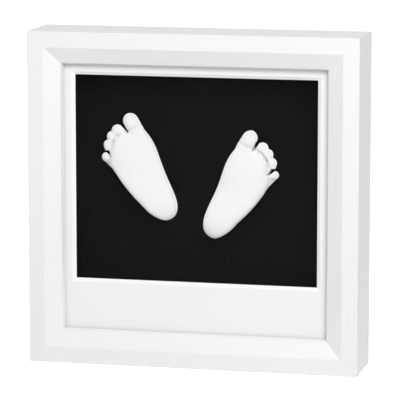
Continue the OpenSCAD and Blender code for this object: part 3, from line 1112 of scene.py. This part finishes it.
# %% Four buttons on four screws
FIRST_SPIN, NEXT_SPIN = 20, 35  # degrees
PITCH = 2 * (pivot.z - MIDDLE.z)
down = Matrix.Translation((0, 0, -PITCH))
half_turn = turn_about(MIDDLE, math.pi)
places = {
    "upper_left": Matrix.Identity(4),
    "lower_left": down,
    "lower_right": half_turn,
    "upper_right": half_turn @ down,
}
for count, (corner, place) in enumerate(places.items()):
    spin = turn_about(pivot, math.radians(FIRST_SPIN + NEXT_SPIN * count))
    button = placed_copy(upper_left, corner + "_turn_button_plate", place)
    settle(button, corner + "_button", "steel", corner + "_turn_button")
    fitted = placed_copy(screw, corner + "_screw", place @ spin)
    settle(fitted, "frame", "steel", "turn_button_screws")
    print(button.name, "on", fitted.name)
for pattern in (upper_left, screw):
    bpy.data.objects.remove(pattern)

# %% [markdown]
# ## Hanger and nails
#
# A sawtooth hanger is a stamped strip whose toothed edge catches a nail in the wall. Two
# small nails hold it on the top rail. Their CAD solids already have the right form, so
# copies of them only need the eased edges that stamped metal has.

# %% Hanger and nails
HANGER_EDGES = {"sawtooth_hanger": 0.12 * MM, "hanger_nails": 0.2 * MM}
for node, width in HANGER_EDGES.items():
    piece = merged_copy(node, node + "_zinc")
    ease_edges(piece, width, degrees=35)
    settle(piece, "frame", "steel", node)
    print(piece.name, len(piece.data.polygons), "faces")

# %% [markdown]
# ## Sheets that stay as they are
#
# The pane, the black board, its spacers, the tape under the casts and the back panel are
# plain sheets on the real object too, and the corner nails hardly show, so their CAD nodes
# stay and only get their finish.

# %% Finishes on the CAD nodes
kept = {
    "glazing_pane": pane_clear,
    "mounting_board": board_black,
    "top_spacer": board_black,
    "bottom_spacer": board_black,
    "left_spacer": board_black,
    "right_spacer": board_black,
    "cast_pads": tape,
    "corner_v_nails": zinc,
    "back_panel": board_brown,
}
for node, finish in kept.items():
    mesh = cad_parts[node].data
    mesh.materials.clear()
    mesh.materials.append(finish)
print(len(kept), "CAD nodes have their finish")

# %% [markdown]
# ## Floor and world
#
# The photograph has a pure white ground. More light would burn out the white paint, so
# the floor and the world are made white only for the rays that show them: straight from
# the camera, in a reflection or through a clear sheet. For all other rays the floor is
# pale and the world dim, so the object is lit at a plain level and its shadow stays.

# %% Floor
FLOOR_SIZE, FLOOR_GLOW = 30.0, 0.7


def shown(start):
    """1 for the rays that show a surface, and 0 for those that only carry its light."""
    camera_ray, glossy_ray, clear_ray = (
        start.node("ShaderNodeLightPath", output=ray)
        for ray in ("Is Camera Ray", "Is Glossy Ray", "Is Transmission Ray")
    )
    return camera_ray + glossy_ray + clear_ray


deselect()
bpy.ops.mesh.primitive_plane_add(size=FLOOR_SIZE)
floor = bpy.context.object
floor.name = "floor"
floor_white, start = new_finish("floor_white")
principled(
    start,
    Base_Color=(0.75, 0.75, 0.75, 1),
    Roughness=1.0,
    Specular_IOR_Level=0.0,
    Emission_Color=(1, 1, 1, 1),
    Emission_Strength=FLOOR_GLOW * shown(start),
)
floor.data.materials.append(floor_white)
floor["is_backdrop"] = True
print("floor in metres:", FLOOR_SIZE)

# %% World
AMBIENT = 0.55
world = bpy.data.worlds.new("white_studio")
bpy.context.scene.world = world
world.use_nodes = True
world.node_tree.nodes.clear()
start = Wire(world.node_tree)
sky = start.node(
    "ShaderNodeBackground",
    inputs={"Color": (1, 1, 1, 1), "Strength": between(shown(start), AMBIENT, 1.0)},
)
start.node("ShaderNodeOutputWorld", inputs={"Surface": sky})
print("world:", world.name, AMBIENT)

# %% [markdown]
# ## Lamps
#
# A near, small lamp above the front draws the line of shadow under the top rail, and a
# large, far one at the right models the bevels softly. Light falls off with distance, so
# a lamp's level is written as what it does to white card, and its watts follow from that.


# %% Lamps
def add_lamp(name, azimuth, elevation, away, size, level):
    """A square lamp that faces the middle of the frame; a level of 1 lights white card to white."""
    around, up = math.radians(azimuth), math.radians(elevation)
    way = Vector((math.sin(around) * math.cos(up), -math.cos(around) * math.cos(up), math.sin(up)))
    deselect()
    bpy.ops.object.light_add(type="AREA", location=MIDDLE + away * way)
    lamp = bpy.context.object
    lamp.name = name
    lamp.rotation_euler = way.to_track_quat("Z", "Y").to_euler()
    lamp.data.size = size
    lamp.data.energy = level * math.pi**2 * away**2
    print(name, round(lamp.data.energy, 1), "W")


add_lamp("top_lamp", azimuth=15, elevation=40, away=1.2, size=0.35, level=0.27)
add_lamp("right_lamp", azimuth=30, elevation=25, away=2.2, size=0.8, level=0.33)

# %% Box of the finished scene
low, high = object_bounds()
print("visual box in mm:", in_mm(high - low))
